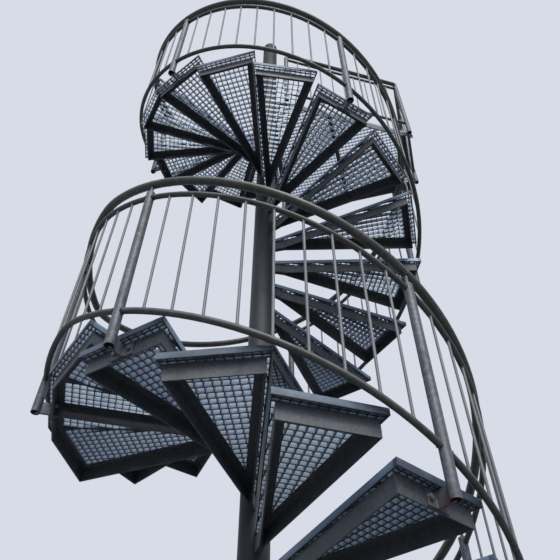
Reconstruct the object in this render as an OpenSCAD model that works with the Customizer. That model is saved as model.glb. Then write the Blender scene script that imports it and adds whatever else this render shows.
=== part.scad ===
// External spiral fire escape stair of hot-dip galvanised steel.
// The origin is the centre of the base flange's underside. +Z is up, and the wall it serves stands at +Y.
// The stair climbs clockwise, seen from above, from the ground to a landing and on to the exit platform.
// A place along the climb is a slot number: slot 1 is the middle of the first tread, and each slot turns
// by one step.

/* [Stair] */
// Height of one step
rise = 186; // [165:1:200]
// Plan angle that one tread takes
step_angle = 23; // [20:0.5:24]
// Direction of the middle of the first tread, counted anticlockwise from +X
start_azimuth = 286; // [280:1:292]
// Distance from the axis to the straight outer edge of a tread
tread_reach = 1000; // [800:10:1300]

/* [Column] */
// Outside diameter of the tread sleeves that make the column
column_d = 139.7; // [127:0.1:168.3]
// Wall of a sleeve
sleeve_wall = 6; // [4:0.5:8]
// Gap between the sleeves and the core tube inside them
core_gap = 0.3; // [0.2:0.1:1]
// Wall of the core tube
core_wall = 6.3; // [4:0.1:10]
// Height of the column above the exit platform
column_above = 1130; // [900:10:1300]
// Thickness of the cap on the column
cap_t = 6; // [3:1:10]

/* [Base flange] */
// Side of the square base plate
base_side = 420; // [360:10:520]
// Thickness of the base plate
base_t = 20; // [12:1:30]
// Height of the fixed stub of column on the base plate
stub_h = 62; // [40:1:62]
// Diameter of the anchor bolt circle
anchor_circle_d = 460; // [440:5:480]
// Number of anchor bolts
anchor_count = 4; // [4]
// Diameter of an anchor bolt hole
anchor_hole_d = 22; // [18:1:26]
// Length of a gusset along the base plate
gusset_l = 110; // [60:5:130]
// Thickness of a gusset
gusset_t = 10; // [6:1:14]

/* [Tread carriers] */
// Depth of a carrier frame below its grating
carrier_depth = 70; // [50:5:90]
// Width of the frame angles' flat leg
angle_leg = 40; // [30:1:50]
// Thickness of the frame angles
angle_t = 6; // [5:0.5:8]
// Distance from the grating's edge in to the frame, square to the edge
carrier_inset = 16; // [10:1:24]
// Distance from the grating's outer edge in to the frame's end
carrier_end_inset = 34; // [20:1:50]
// Width of the block where the two side angles meet the column
nose_w = 24; // [16:1:40]

/* [Gratings] */
// Height of the grating bars
grating_h = 30; // [25:1:40]
// Thickness of a bearing bar
bar_t = 3; // [2:0.5:5]
// Thickness of the band round a grating
band_t = 5; // [3:0.5:6]
// Distance from one bearing bar to the next
bar_pitch = 33.3; // [30:0.1:44]
// Overlap of a tread over the one below, each side, at its outer edge
tread_overlap = 2; // [0:0.5:20]
// Gap between a grating and the column
column_gap = 6; // [3:1:15]

/* [Posts] */
// Diameter of the guard posts
post_d = 42.4; // [33.7:0.1:48.3]
// Wall of the guard posts
post_wall = 2.6; // [2:0.1:4]
// Distance of the posts and rails beyond the treads' outer edges
post_offset = 42; // [38:1:80]
// Depth of a post's open foot below the tread it stands at
post_below = 94; // [70:1:98]
// Height of a post above the tread it stands at
post_h = 905; // [850:5:1000]
// Diameter of the pin between post and handrail
pin_d = 16; // [12:1:20]
// Height of the plate that holds a post to its frame
foot_plate_h = 60; // [40:1:66]
// Width of the plate that holds a post to its frame
foot_plate_w = 100; // [70:1:120]
// Thickness of the plate that holds a post to its frame
foot_plate_t = 8; // [6:1:12]
// Thickness of the arm between that plate and the post
foot_arm_t = 12; // [8:1:16]

/* [Rails] */
// Diameter of the handrail
handrail_d = 42.4; // [33.7:0.1:48.3]
// Height of the handrail's centre above the posts' tops
pin_rise = 80; // [60:1:120]
// Gap between one length of rail and the next
rail_joint = 0.2; // [0.2:0.1:1]
// Diameter of the guard's two rails
rail_d = 26.9; // [21.3:0.1:33.7]
// Depth of the upper rail's centre below the posts' tops
upper_rail_drop = 35; // [25:1:80]
// Height of the lower rail's centre above the tread
lower_rail_h = 90; // [60:1:120]
// Diameter of the upright bars
bar_d = 12; // [10:1:16]
// Plan angle from one upright bar to the next on the stair
bar_angle = 6.9; // [5:0.1:6.9]
// Distance from one upright bar to the next on the platform
bar_spacing = 123; // [100:1:123]

/* [Exit platform] */
// Direction of the platform's front edge
front_azimuth = 30; // [28:1:34]
// Distance of the platform's right side beyond the treads' reach
right_overhang = 183; // [120:1:400]
// Distance of the wall's face beyond the treads' reach
wall_distance = 310; // [290:10:1400]
// Distance from the column to the first post of the front guard
inner_post_distance = 93; // [80:1:150]
// Distance from the wall to the last guard posts
wall_post_gap = 60; // [40:5:120]
// Thickness of the two plates on the wall
wall_plate_t = 12; // [8:1:16]
// Side of the two plates on the wall
wall_plate_side = 220; // [180:10:260]
// Diameter of the bolt holes in the wall plates
wall_hole_d = 18; // [14:1:22]
// Distance between the bolt holes in a wall plate
wall_hole_spacing = 150; // [120:5:150]

/* [Hidden] */
lower_treads = [for (s = [1:18]) s];
upper_treads = [for (s = [20:38]) s];
landing_step = 19;
landing_slots = 3;
platform_step = 39;
first_landing_slot = landing_step;
last_landing_slot = first_landing_slot + landing_slots - 1;
last_tread_slot = 38 + landing_slots - 1;
column_r = column_d / 2;
sleeve_bore_d = column_d - 2 * sleeve_wall;
core_d = sleeve_bore_d - 2 * core_gap;
platform_z = platform_step * rise;
column_top_z = platform_z + column_above;
half_step = step_angle / 2;
edge_slope = tan(half_step) + tread_overlap / tread_reach;
carrier_reach = tread_reach - carrier_end_inset;
carrier_z = -grating_h - carrier_depth;
inset_y = carrier_inset * sqrt(1 + edge_slope * edge_slope);
post_reach = tread_reach + post_offset;
slot_run = post_reach * step_angle * PI / 180;
handrail_h = post_h + pin_rise;
upper_rail_h = post_h - upper_rail_drop;
right_x = tread_reach + right_overhang;
wall_y = tread_reach + wall_distance;
inner_post_reach = column_r + inner_post_distance;
slope_angle = atan(rise / slot_run);
handrail_sides = 10;
rail_sides = 8;
pin_seat = 0.3;
rail_step = 1 / 3;
wall_face_y = wall_y - wall_plate_t;
left_x = -tread_reach * sin(azimuth(last_tread_slot) - half_step - 90);

function digits(n) = n < 10 ? str("0", n) : str(n);
function tread_name(s) = str("tread_", digits(s));

// Places along the climb
function azimuth(slot) = start_azimuth - (slot - 1) * step_angle;
function slot_of(step) = step <= landing_step ? step : step + landing_slots - 1;
function level(slot) =
    slot <= first_landing_slot ? slot :
    slot <= last_landing_slot ? landing_step :
    slot - landing_slots + 1;
function polar(r, a) = [r * cos(a), r * sin(a)];
function turned(p, a) = [p[0] * cos(a) - p[1] * sin(a), p[0] * sin(a) + p[1] * cos(a)];
function climb_point(slot, h) =
    let (p = polar(post_reach, azimuth(slot))) [p[0], p[1], level(slot) * rise + h];
function unit(v) = v / norm(v);
function flat(v) = [v[0], v[1], 0];

post_slots = [1, 3, 6, 9, 12, 15, 18, 20, 22, 25, 28, 31, 34, 37, 40];
lower_post_slots = [for (s = post_slots) if (s <= 18) s];
upper_post_slots = [for (s = post_slots) if (s > 18) s];

// Corners of the exit platform, seen from above: the column, the right end of the front edge, and on round
front_dir = polar(1, front_azimuth);
front_corner = [right_x, right_x * tan(front_azimuth)];
arrival_dir = polar(1, azimuth(last_tread_slot) - half_step);
arrival_corner = [left_x, left_x * arrival_dir[1] / arrival_dir[0]];

// Guard posts of the platform, which stand outside its edges
front_normal = [front_dir[1], -front_dir[0]];
right_line = right_x + post_offset;
corner_post = [right_line, right_line * tan(front_azimuth) - post_offset / cos(front_azimuth)];
inner_post = front_dir * inner_post_reach + front_normal * post_offset;
right_end_post = [right_line, wall_face_y - wall_post_gap];
left_end_post = [left_x - post_offset, wall_face_y - wall_post_gap];
last_stair_post = climb_point(last_tread_slot, 0);

// A tube along a path, with rings square to the path and mitred where it turns.
// At its ends it is cut square to end_dirs, or to the path where they aren't given.
module path_tube(path, d, sides, end_dirs = undef) {
    last = len(path) - 1;
    steps = [for (i = [0:last - 1]) unit(path[i + 1] - path[i])];
    cuts = is_undef(end_dirs) ? [steps[0], steps[last - 1]] : end_dirs;
    tangents = [for (i = [0:last])
        unit(i == 0 ? cuts[0] : i == last ? cuts[1] : steps[i - 1] + steps[i])];
    rings = [for (i = [0:last])
        let (across = unit(cross(tangents[i], [0, 0, 1])), up = cross(across, tangents[i]),
             side = across / (unit(flat(tangents[i])) * unit(flat(steps[min(i, last - 1)]))))
        for (k = [0:sides - 1])
            path[i] + d / 2 * (side * cos(360 * k / sides) + up * sin(360 * k / sides))];
    walls = [for (i = [0:last - 1]) for (k = [0:sides - 1])
        let (a = i * sides + k, b = i * sides + (k + 1) % sides)
        each [[a, b, a + sides], [b, b + sides, a + sides]]];
    ends = [[for (k = [sides - 1:-1:0]) k], [for (k = [0:sides - 1]) last * sides + k]];
    polyhedron(rings, concat(walls, ends), convexity = 8);
}

// A place on a slot: x runs out from the column, z is 0 at the top of that slot's tread
module at_slot(slot) {
    translate([0, 0, level(slot) * rise]) rotate([0, 0, azimuth(slot)]) children();
}

// One turn of sleeve below a tread's top
module sleeve(h) {
    translate([0, 0, -h]) cylinder(d = column_d, h = h, $fn = 72);
}

module sleeve_bore(h) {
    translate([0, 0, -h - 1]) cylinder(d = sleeve_bore_d, h = h + 2, $fn = 72);
}

module base_plate() {
    color("darkgray") difference() {
        union() {
            translate([-base_side / 2, -base_side / 2, 0]) cube([base_side, base_side, base_t]);
            cylinder(d = column_d, h = base_t + stub_h, $fn = 72);
            for (a = [0:90:270]) rotate([90, 0, a]) translate([0, 0, -gusset_t / 2])
                linear_extrude(gusset_t) polygon([
                    [column_r - 2, base_t - 1], [column_r + gusset_l, base_t - 1],
                    [column_r + gusset_l, base_t + 10], [column_r + 12, base_t + stub_h - 4],
                    [column_r - 2, base_t + stub_h - 4]]);
        }
        translate([0, 0, base_t]) cylinder(d = sleeve_bore_d, h = stub_h + 1, $fn = 72);
        for (k = [0:anchor_count - 1]) rotate(45 + k * 360 / anchor_count)
            translate([anchor_circle_d / 2, 0, -1]) cylinder(d = anchor_hole_d, h = base_t + 2, $fn = 48);
    }
}

module column_core() {
    color("gray") translate([0, 0, base_t]) difference() {
        cylinder(d = core_d, h = column_top_z - base_t, $fn = 72);
        translate([0, 0, -1]) cylinder(d = core_d - 2 * core_wall, h = column_top_z - base_t + 2, $fn = 72);
    }
}

module column_top() {
    color("gray") translate([0, 0, column_top_z]) difference() {
        sleeve(column_above);
        sleeve_bore(column_above);
    }
}

module column_cap() {
    color("darkgray") translate([0, 0, column_top_z]) cylinder(d = column_d, h = cap_t, $fn = 72);
}

// Plan of a tread frame: its sides run beside the grating's edges, d further in
function tread_side(x, d) = edge_slope * x - inset_y - d * sqrt(1 + edge_slope * edge_slope);
function tread_plan(d) =
    let (apex = (inset_y + d * sqrt(1 + edge_slope * edge_slope)) / edge_slope, end = carrier_reach - d)
    [[apex, 0], [end, -tread_side(end, d)], [end, tread_side(end, d)]];

module tread_frame() {
    nose_end = (nose_w / 2 + inset_y) / edge_slope;
    translate([0, 0, carrier_z]) {
        linear_extrude(carrier_depth) {
            difference() {
                polygon(tread_plan(0));
                polygon(tread_plan(angle_t));
            }
            translate([column_r - 4, -nose_w / 2]) square([nose_end - column_r + 4, nose_w]);
        }
        translate([0, 0, carrier_depth - angle_t]) linear_extrude(angle_t) difference() {
            polygon(tread_plan(0));
            polygon(tread_plan(angle_leg));
        }
    }
}

module tread(step) {
    sleeve_h = step == 1 ? rise - base_t - stub_h : rise;
    color("dimgray") at_slot(slot_of(step)) difference() {
        union() {
            sleeve(sleeve_h);
            tread_frame();
        }
        sleeve_bore(sleeve_h);
    }
}

// Plan of the landing's frame, d in from its outer faces. Its two ends run beside the neighbouring treads.
function landing_plan(d) =
    let (inset = carrier_inset + d, reach = carrier_reach - d,
         mid = azimuth((first_landing_slot + last_landing_slot) / 2),
         side = tan(half_step) * reach - inset / cos(half_step))
    concat(
        [polar(inset / sin(landing_slots * half_step), mid)],
        [turned([reach, side], azimuth(first_landing_slot))],
        [for (s = [first_landing_slot:last_landing_slot - 1])
            polar(reach / cos(half_step), azimuth(s) - half_step)],
        [turned([reach, -side], azimuth(last_landing_slot))]);

// Plan of the landing's outer angles and of its middle arm, w wide
module landing_angles(w) {
    difference() {
        polygon(landing_plan(0));
        polygon(landing_plan(w));
    }
    rotate(azimuth((first_landing_slot + last_landing_slot) / 2))
        translate([column_r - 4, -w / 2]) square([carrier_reach - column_r, w]);
}

module landing_frame() {
    color("dimgray") translate([0, 0, landing_step * rise]) difference() {
        union() {
            sleeve(rise);
            translate([0, 0, carrier_z]) {
                linear_extrude(carrier_depth) landing_angles(angle_t);
                translate([0, 0, carrier_depth - angle_t]) linear_extrude(angle_t) landing_angles(angle_leg);
            }
        }
        sleeve_bore(rise);
    }
}

// Windows between the bearing bars of a tread grating, counted from its outer edge
module tread_grating() {
    count = floor((tread_reach - column_r - column_gap - 2 * band_t) / bar_pitch);
    edge_band = band_t * sqrt(1 + edge_slope * edge_slope);
    translate([0, 0, -grating_h]) linear_extrude(grating_h) difference() {
        polygon([[0, 0], [tread_reach, -edge_slope * tread_reach], [tread_reach, edge_slope * tread_reach]]);
        circle(r = column_r + column_gap, $fn = 72);
        for (k = [0:count - 1]) {
            outer = tread_reach - band_t - k * bar_pitch;
            inner = max(outer - bar_pitch + bar_t, column_r + column_gap + band_t);
            outer_y = edge_slope * outer - edge_band;
            inner_y = edge_slope * inner - edge_band;
            if (inner_y > bar_t)
                polygon([[inner, -inner_y], [outer, -outer_y], [outer, outer_y], [inner, inner_y]]);
        }
    }
}

module lower_gratings() {
    color("silver") for (s = lower_treads) at_slot(slot_of(s)) tread_grating();
}

module upper_gratings() {
    color("silver") for (s = upper_treads) at_slot(slot_of(s)) tread_grating();
}

// Landing grating: one panel per slot, each with its bars along its own outer edge
module landing_grating() {
    color("silver") for (s = [first_landing_slot:last_landing_slot]) at_slot(s) tread_panel_on_landing();
}

module tread_panel_on_landing() {
    slope = tan(half_step);
    gap = 1;
    count = floor((tread_reach - column_r - column_gap - 2 * band_t) / bar_pitch);
    edge_band = band_t / cos(half_step) + gap;
    translate([0, 0, -grating_h]) linear_extrude(grating_h) difference() {
        polygon([
            [gap / slope, 0],
            [tread_reach, -slope * tread_reach + gap],
            [tread_reach, slope * tread_reach - gap]]);
        circle(r = column_r + column_gap, $fn = 72);
        for (k = [0:count - 1]) {
            outer = tread_reach - band_t - k * bar_pitch;
            inner = max(outer - bar_pitch + bar_t, column_r + column_gap + band_t);
            outer_y = slope * outer - edge_band;
            inner_y = slope * inner - edge_band;
            if (inner_y > bar_t)
                polygon([[inner, -inner_y], [outer, -outer_y], [outer, outer_y], [inner, inner_y]]);
        }
    }
}

// Plan of the exit platform, d in from its edges on the open sides
function line_cross(p, u, q, v) = p + u * (cross([q[0] - p[0], q[1] - p[1]], v) / cross(u, v));
function platform_plan(d, wall_d) =
    let (front_n = [-front_dir[1], front_dir[0]], arrival_n = [arrival_dir[1], -arrival_dir[0]],
         fp = front_n * d, ap = arrival_n * d)
    [line_cross(fp, front_dir, ap, arrival_dir),
     line_cross(fp, front_dir, [right_x - d, 0], [0, 1]),
     [right_x - d, wall_face_y - wall_d],
     [left_x + d, wall_face_y - wall_d],
     line_cross(ap, arrival_dir, [left_x + d, 0], [0, 1])];

module platform_frame() {
    joist_x = (left_x + right_x) / 2;
    color("dimgray") translate([0, 0, platform_z]) difference() {
        union() {
            sleeve(rise);
            translate([0, 0, carrier_z]) {
                linear_extrude(carrier_depth) difference() {
                    polygon(platform_plan(0, 0));
                    polygon(platform_plan(angle_t, angle_t));
                }
                translate([0, 0, carrier_depth - angle_t]) linear_extrude(angle_t) difference() {
                    polygon(platform_plan(0, 0));
                    polygon(platform_plan(angle_leg, angle_leg));
                }
                linear_extrude(carrier_depth) intersection() {
                    polygon(platform_plan(1, 1));
                    translate([joist_x - angle_t, 0]) square([angle_t, wall_y]);
                }
                translate([0, 0, carrier_depth - angle_t]) linear_extrude(angle_t) intersection() {
                    polygon(platform_plan(1, 1));
                    translate([joist_x - angle_leg, 0]) square([angle_leg, wall_y]);
                }
            }
        }
        sleeve_bore(rise);
    }
}

module platform_grating() {
    rows = floor((wall_face_y - 2 * band_t) / bar_pitch);
    color("silver") translate([0, 0, platform_z - grating_h]) linear_extrude(grating_h) difference() {
        polygon(platform_plan(0, 0));
        circle(r = column_r + column_gap, $fn = 72);
        intersection() {
            polygon(platform_plan(band_t, band_t));
            difference() {
                for (k = [0:rows]) translate([left_x, wall_face_y - band_t - (k + 1) * bar_pitch + bar_t])
                    square([right_x - left_x, bar_pitch - bar_t]);
                circle(r = column_r + column_gap + band_t, $fn = 72);
            }
        }
    }
}

// A guard post with its pin and its foot, which points back to the frame that holds it
module guard_post(arm_l, rail_slope) {
    pin_top = handrail_h - handrail_d / 2 * cos(180 / handrail_sides) / cos(rail_slope) - pin_seat;
    difference() {
        union() {
            translate([0, 0, -post_below]) cylinder(d = post_d, h = post_below + post_h, $fn = 48);
            translate([-arm_l + foot_plate_t / 2, -foot_arm_t / 2, carrier_z + 4])
                cube([arm_l - foot_plate_t / 2, foot_arm_t, foot_plate_h]);
        }
        translate([0, 0, -post_below - 1])
            cylinder(d = post_d - 2 * post_wall, h = post_below + post_h - 3, $fn = 48);
    }
    translate([0, 0, post_h - 1]) cylinder(d = pin_d, h = pin_top - post_h + 1, $fn = 32);
    translate([-arm_l, -foot_plate_w / 2, carrier_z + 4]) cube([foot_plate_t, foot_plate_w, foot_plate_h]);
}

module stair_posts(slots) {
    for (s = slots) at_slot(s) translate([post_reach, 0, 0])
        guard_post(post_reach - carrier_reach, level(s + 0.5) == level(s) ? 0 : slope_angle);
}

module lower_posts() { color("slategray") stair_posts(lower_post_slots); }
module upper_posts() { color("slategray") stair_posts(upper_post_slots); }

// Each platform post: its place and the direction from the edge out to it
platform_post_places = [
    [inner_post, front_azimuth - 90], [corner_post, front_azimuth - 90], [right_end_post, 0],
    [left_end_post, 180]];

module platform_posts() {
    color("slategray") for (p = platform_post_places)
        translate([p[0][0], p[0][1], platform_z]) rotate(p[1]) guard_post(post_offset, 0);
}

// Handrail of one bay of the stair
function climb_path(a, b, h) =
    let (n = max(1, round((b - a) / rail_step))) [for (i = [0:n]) climb_point(a + (b - a) * i / n, h)];

// A rail of the climb from slot a to slot b, cut square to the climb at both ends
module climb_tube(a, b, h, d, sides) {
    short = 0.01;
    path_tube(climb_path(a, b, h), d, sides,
        [climb_point(a + short, h) - climb_point(a, h), climb_point(b, h) - climb_point(b - short, h)]);
}

module stair_handrail(slots) {
    joint = rail_joint / slot_run;
    for (i = [0:len(slots) - 2])
        climb_tube(slots[i], slots[i + 1] - joint, handrail_h, handrail_d, handrail_sides);
}

module lower_handrail() { color("gray") stair_handrail(lower_post_slots); }
module upper_handrail() { color("gray") stair_handrail(concat([18], upper_post_slots)); }

function at_height(p, z) = [p[0], p[1], z];
platform_runs = [[inner_post, corner_post], [corner_post, right_end_post]];

module platform_handrail() {
    z = platform_z + handrail_h;
    right_end = [corner_post[0], wall_face_y];
    left_end = [left_end_post[0], wall_face_y];
    color("gray") {
        path_tube([for (p = [inner_post, corner_post, right_end]) at_height(p, z)],
            handrail_d, handrail_sides);
        path_tube([climb_point(last_tread_slot, handrail_h), at_height(left_end_post, z), at_height(left_end, z)],
            handrail_d, handrail_sides);
    }
}

// One guard panel of the stair between the posts at slots a and b: two rails and the bars between them.
// It is drawn in lengths of about one slot, parted midway between two bars.
module stair_panel(a, b) {
    clear = post_d / 2 / slot_run;
    gaps = round((b - a) * step_angle / bar_angle);
    bar_slots = [for (k = [0:gaps]) a + (b - a) * k / gaps];
    first_bars = [for (j = [0:b - a]) floor(gaps * j / (b - a))];
    partings = [for (k = first_bars) a + (b - a) * (k - 0.5) / gaps];
    for (j = [0:b - a - 1]) {
        from = j == 0 ? a + clear : partings[j];
        to = j == b - a - 1 ? b - clear : partings[j + 1] - rail_joint / slot_run;
        climb_tube(from, to, upper_rail_h, rail_d, rail_sides);
        climb_tube(from, to, lower_rail_h, rail_d, rail_sides);
        for (k = [max(1, first_bars[j]):first_bars[j + 1] - 1])
            translate(climb_point(bar_slots[k], lower_rail_h))
                cylinder(d = bar_d, h = upper_rail_h - lower_rail_h, $fn = 6);
    }
}

module lower_guard() {
    color("gray") for (i = [0:len(lower_post_slots) - 2])
        stair_panel(lower_post_slots[i], lower_post_slots[i + 1]);
}

module landing_guard() {
    color("gray") for (s = [18, 20]) stair_panel(s, s + 2);
}

module upper_guard() {
    color("gray") for (s = [22:3:37]) stair_panel(s, s + 3);
}

// A straight guard panel between two places on the platform's edge
module straight_panel(from, to) {
    along = unit(to - from);
    a = from + along * post_d / 2;
    b = to - along * post_d / 2;
    flat = norm([to[0] - from[0], to[1] - from[1]]);
    gaps = max(1, ceil(flat / bar_spacing));
    for (h = [upper_rail_h, lower_rail_h]) path_tube([a + [0, 0, h], b + [0, 0, h]], rail_d, rail_sides);
    if (gaps > 1) for (k = [1:gaps - 1]) translate(from + (to - from) * k / gaps + [0, 0, lower_rail_h])
        cylinder(d = bar_d, h = upper_rail_h - lower_rail_h, $fn = 6);
}

module platform_guard() {
    color("gray") {
        for (r = platform_runs) straight_panel(at_height(r[0], platform_z), at_height(r[1], platform_z));
        straight_panel(last_stair_post, at_height(left_end_post, platform_z));
    }
}

// Plates that carry the platform on the wall, one near each side
module wall_plates() {
    color("darkgray") for (x = [left_x + wall_plate_side / 2, right_x - wall_plate_side / 2])
        translate([x, wall_face_y, platform_z - grating_h - carrier_depth / 2]) rotate([-90, 0, 0])
            difference() {
                translate([-wall_plate_side / 2, -wall_plate_side / 2, 0])
                    cube([wall_plate_side, wall_plate_side, wall_plate_t]);
                for (i = [-1, 1]) for (j = [-1, 1])
                    translate([i * wall_hole_spacing / 2, j * wall_hole_spacing / 2, -1])
                        cylinder(d = wall_hole_d, h = wall_plate_t + 2, $fn = 48);
            }
}

base_plate();
column_core();
column_top();
column_cap();
for (s = lower_treads) tread(s);
landing_frame();
for (s = upper_treads) tread(s);
platform_frame();
lower_gratings();
landing_grating();
upper_gratings();
platform_grating();
lower_posts();
upper_posts();
platform_posts();
lower_handrail();
upper_handrail();
platform_handrail();
lower_guard();
landing_guard();
upper_guard();
platform_guard();
wall_plates();
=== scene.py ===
import bmesh
import bpy
import numpy as np
from mathutils import Matrix, Vector


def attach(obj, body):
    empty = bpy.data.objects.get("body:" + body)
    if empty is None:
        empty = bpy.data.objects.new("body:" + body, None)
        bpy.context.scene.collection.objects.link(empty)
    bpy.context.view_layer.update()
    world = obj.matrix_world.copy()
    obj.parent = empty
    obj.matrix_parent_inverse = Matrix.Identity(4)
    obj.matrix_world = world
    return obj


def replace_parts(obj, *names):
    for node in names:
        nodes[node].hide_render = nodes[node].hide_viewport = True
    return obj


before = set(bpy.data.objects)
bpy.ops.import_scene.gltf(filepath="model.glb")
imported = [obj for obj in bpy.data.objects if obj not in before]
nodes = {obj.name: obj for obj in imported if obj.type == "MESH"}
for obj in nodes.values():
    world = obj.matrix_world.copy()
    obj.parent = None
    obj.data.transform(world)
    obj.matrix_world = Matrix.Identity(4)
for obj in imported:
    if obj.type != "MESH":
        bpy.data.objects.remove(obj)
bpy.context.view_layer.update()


# Base flange
# The foot of the stair: a square steel plate with a short stub of column and four gussets, hot-dip
# galvanised. It is one welded piece, held down on its footing by four anchor bolts.

class Shade:
    """One output of a shader node. Arithmetic on it adds Math nodes, and node() adds any other type."""

    def __init__(self, tree, socket=None):
        self.tree = tree
        self.socket = socket

    def node(self, kind, settings=None, inputs=None, output=0):
        """A node of the given type: its settings first, then the values or links of its sockets."""
        made = self.tree.nodes.new(kind)
        for name, value in (settings or {}).items():
            setattr(made, name, value)
        for name, value in (inputs or {}).items():
            if isinstance(value, Shade):
                self.tree.links.new(value.socket, made.inputs[name])
            else:
                made.inputs[name].default_value = value
        return Shade(self.tree, made.outputs[output] if made.outputs else None)

    def maths(self, operation, first, second):
        """A Math node on two values or links."""
        return self.node("ShaderNodeMath", {"operation": operation}, {0: first, 1: second})

    def __add__(self, other):
        return self.maths("ADD", self, other)

    __radd__ = __add__

    def __sub__(self, other):
        return self.maths("SUBTRACT", self, other)

    def __rsub__(self, other):
        return self.maths("SUBTRACT", other, self)

    def __mul__(self, other):
        return self.maths("MULTIPLY", self, other)

    __rmul__ = __mul__

    def above(self, low, high):
        """0 where the value is under low, 1 where it is over high, and a smooth step between."""
        return self.node("ShaderNodeMapRange", {"interpolation_type": "SMOOTHSTEP"},
                         {"Value": self, "From Min": low, "From Max": high, "To Min": 0.0, "To Max": 1.0})

    def blend(self, first, second):
        """The first colour where this value is 0, the second where it is 1."""
        first, second = ((*c, 1.0) if isinstance(c, tuple) else c for c in (first, second))
        return self.node("ShaderNodeMix", {"data_type": "RGBA"}, {0: self, 6: first, 7: second}, output=2)


def galvanised(name, colour, grime_and_shade, blotch, streaks, metal=0.35, rough=0.5, underside_shade=0.45, gloss=0.5,
               extra=None):
    """Weathered zinc: small crystals, cloudy patches and rain streaks over a base colour, and painted shade
    underneath.

    The colour goes from the clean one to the darker one by the sum of three masks: a noise of patches
    0.15 m across and a noise drawn out 20 times along Z, which are dirt, and the share of the surface's
    normal that points down, which is painted shade, weighted by the argument for the undersides. A paler
    zinc then comes in with the crystals, the spots and a fine grain. extra may add one more finish.
    """
    pale = tuple(min(1.0, c * 1.6) for c in colour)
    pale_share = 0.42
    smoothest = rough - 0.08
    material = bpy.data.materials.new(name)
    material.use_nodes = True
    tree = material.node_tree
    tree.nodes.clear()
    sheet = Shade(tree)
    place = sheet.node("ShaderNodeTexCoord", output=3)
    drawn_out = sheet.node("ShaderNodeMapping", None, {"Vector": place, "Scale": (28.0, 28.0, 1.4)})
    crystals = sheet.node("ShaderNodeTexVoronoi", None, {"Vector": place, "Scale": 95.0}, output=1)
    crystal = sheet.node("ShaderNodeSeparateColor", None, {"Color": crystals})
    patches = sheet.node("ShaderNodeTexNoise", None,
                         {"Vector": place, "Scale": 6.5, "Detail": 6.0, "Roughness": 0.62})
    spots = sheet.node("ShaderNodeTexNoise", None,
                       {"Vector": place, "Scale": 46.0, "Detail": 4.0, "Roughness": 0.6})
    rain = sheet.node("ShaderNodeTexNoise", None, {"Vector": drawn_out, "Scale": 1.0, "Detail": 4.0})
    grain = sheet.node("ShaderNodeTexNoise", None, {"Vector": place, "Scale": 420.0, "Detail": 3.0})
    facing = sheet.node("ShaderNodeNewGeometry", output=1)
    upright = sheet.node("ShaderNodeSeparateXYZ", None, {"Vector": facing}, output=2)
    # Painted shade: faces that look down go towards the darker colour.
    facing_down_shade = (0.0 - upright).above(0.0, 0.65)
    dirt_and_shade_mask = patches.above(0.38, 0.66) * blotch + rain.above(0.48, 0.72) * streaks + facing_down_shade * underside_shade
    shade = dirt_and_shade_mask.above(0.0, 1.0).blend(colour, grime_and_shade)
    light = crystal * 0.3 + spots.above(0.36, 0.64) * 0.45 + grain.above(0.34, 0.66) * 0.25
    shade = (light * pale_share).blend(shade, pale)
    if extra:
        shade = extra(sheet, place, patches, spots, shade)
    worn = smoothest + spots * 0.2 + dirt_and_shade_mask * 0.12
    lift = sheet.node("ShaderNodeBump", None, {"Strength": 0.35, "Distance": 0.0012,
                                               "Height": grain * 0.6 + spots * 0.8 + crystal * 0.12})
    finish = sheet.node("ShaderNodeBsdfPrincipled", None, {
        "Base Color": shade, "Roughness": worn, "Metallic": metal, "Specular IOR Level": gloss,
        "Normal": lift})
    sheet.node("ShaderNodeOutputMaterial", None, {"Surface": finish})
    return material


def finish_nodes(material, *names):
    """Gives the named CAD nodes one material."""
    for name in names:
        nodes[name].data.materials.clear()
        nodes[name].data.materials.append(material)


merge_within = 3e-6
sharp_over = np.radians(38)


def made_piece(name, surfaces, material):
    """One object of several surfaces, each a pair of points (n, 3) and quads (m, 4), counted from 0 in each.

    Points that fall together, as at the poles of a turned shape, are merged, which closes them.
    """
    points = np.concatenate([p for p, f in surfaces])
    starts = np.cumsum([0] + [len(p) for p, f in surfaces[:-1]])
    quads = np.concatenate([np.asarray(f) + s for (p, f), s in zip(surfaces, starts)])
    mesh = bpy.data.meshes.new(name)
    mesh.from_pydata(points.tolist(), [], quads.tolist())
    whole = bmesh.new()
    whole.from_mesh(mesh)
    bmesh.ops.remove_doubles(whole, verts=whole.verts, dist=merge_within)
    whole.to_mesh(mesh)
    whole.free()
    mesh.polygons.foreach_set("use_smooth", np.ones(len(mesh.polygons), bool))
    mesh.set_sharp_from_angle(angle=sharp_over)
    mesh.materials.append(material)
    mesh.update()
    piece = bpy.data.objects.new(name, mesh)
    bpy.context.scene.collection.objects.link(piece)
    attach(piece, "root")
    return piece


def ring_faces(rings, sides):
    """Quads between rings of points that follow each other, facing out where the next ring is on the left."""
    i, k = np.meshgrid(np.arange(rings - 1), np.arange(sides), indexing="ij")
    n = (k + 1) % sides
    quads = np.stack([i * sides + k, i * sides + n, (i + 1) * sides + n, (i + 1) * sides + k], axis=-1)
    return quads.reshape(-1, 4)


def turned(profile, sides, flats=None):
    """A profile of (radius, height) pairs turned round Z, closed at an end where the radius is 0.

    At angle a the radius is the smaller of the profile's and, where flats is given,
    flats / 2 / cos(a mod 60 - 30 degrees), which is a hexagon of that width across its flats.
    """
    profile = np.asarray(profile, float)
    turn = np.arange(sides) * 2 * np.pi / sides
    radius = np.repeat(profile[:, :1], sides, axis=1)
    height = np.repeat(profile[:, 1:], sides, axis=1)
    if flats:
        hexagon = flats / 2 / np.cos(np.mod(turn, np.pi / 3) - np.pi / 6)
        radius = np.minimum(radius, hexagon)
    points = np.stack([radius * np.cos(turn), radius * np.sin(turn), height], axis=-1)
    return points.reshape(-1, 3), ring_faces(len(profile), sides)


steep = 0.9


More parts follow.
